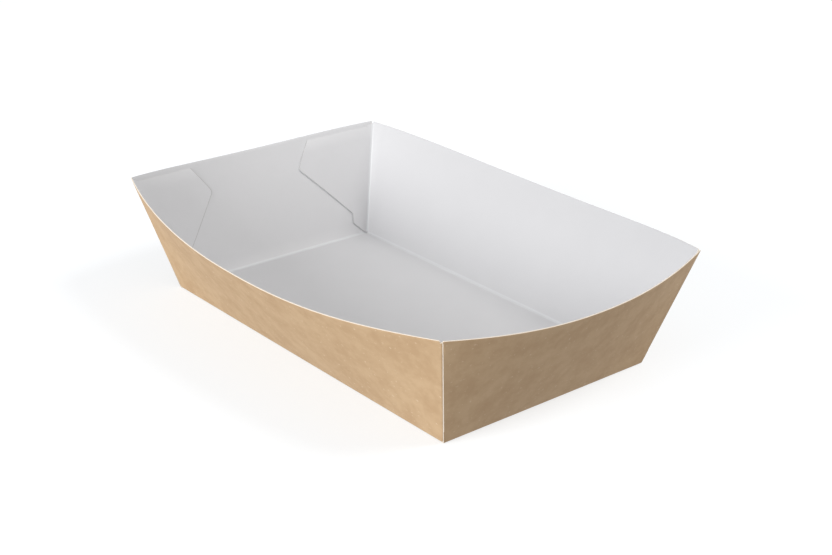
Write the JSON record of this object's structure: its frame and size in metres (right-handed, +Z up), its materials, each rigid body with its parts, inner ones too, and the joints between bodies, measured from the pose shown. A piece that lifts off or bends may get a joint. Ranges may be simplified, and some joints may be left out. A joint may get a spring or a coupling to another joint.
{
  "type": "paper food tray",
  "caption": "Open rectangular food tray folded from one sheet of kraft board, with bowed sloping walls and corner flaps glued inside the end walls.",
  "frame": {"origin": "middle of the underside, on the surface that the tray stands on", "axes": "+Z up, +X along the tray's length, +Y across it"},
  "size_m": [0.2098, 0.1506, 0.0467],
  "materials": {
    "kraft_board": "matt kraft board, brown outside and coated white inside"
  },
  "bodies": {
    "root": {"tray": "kraft_board"}
  },
  "joints": []
}
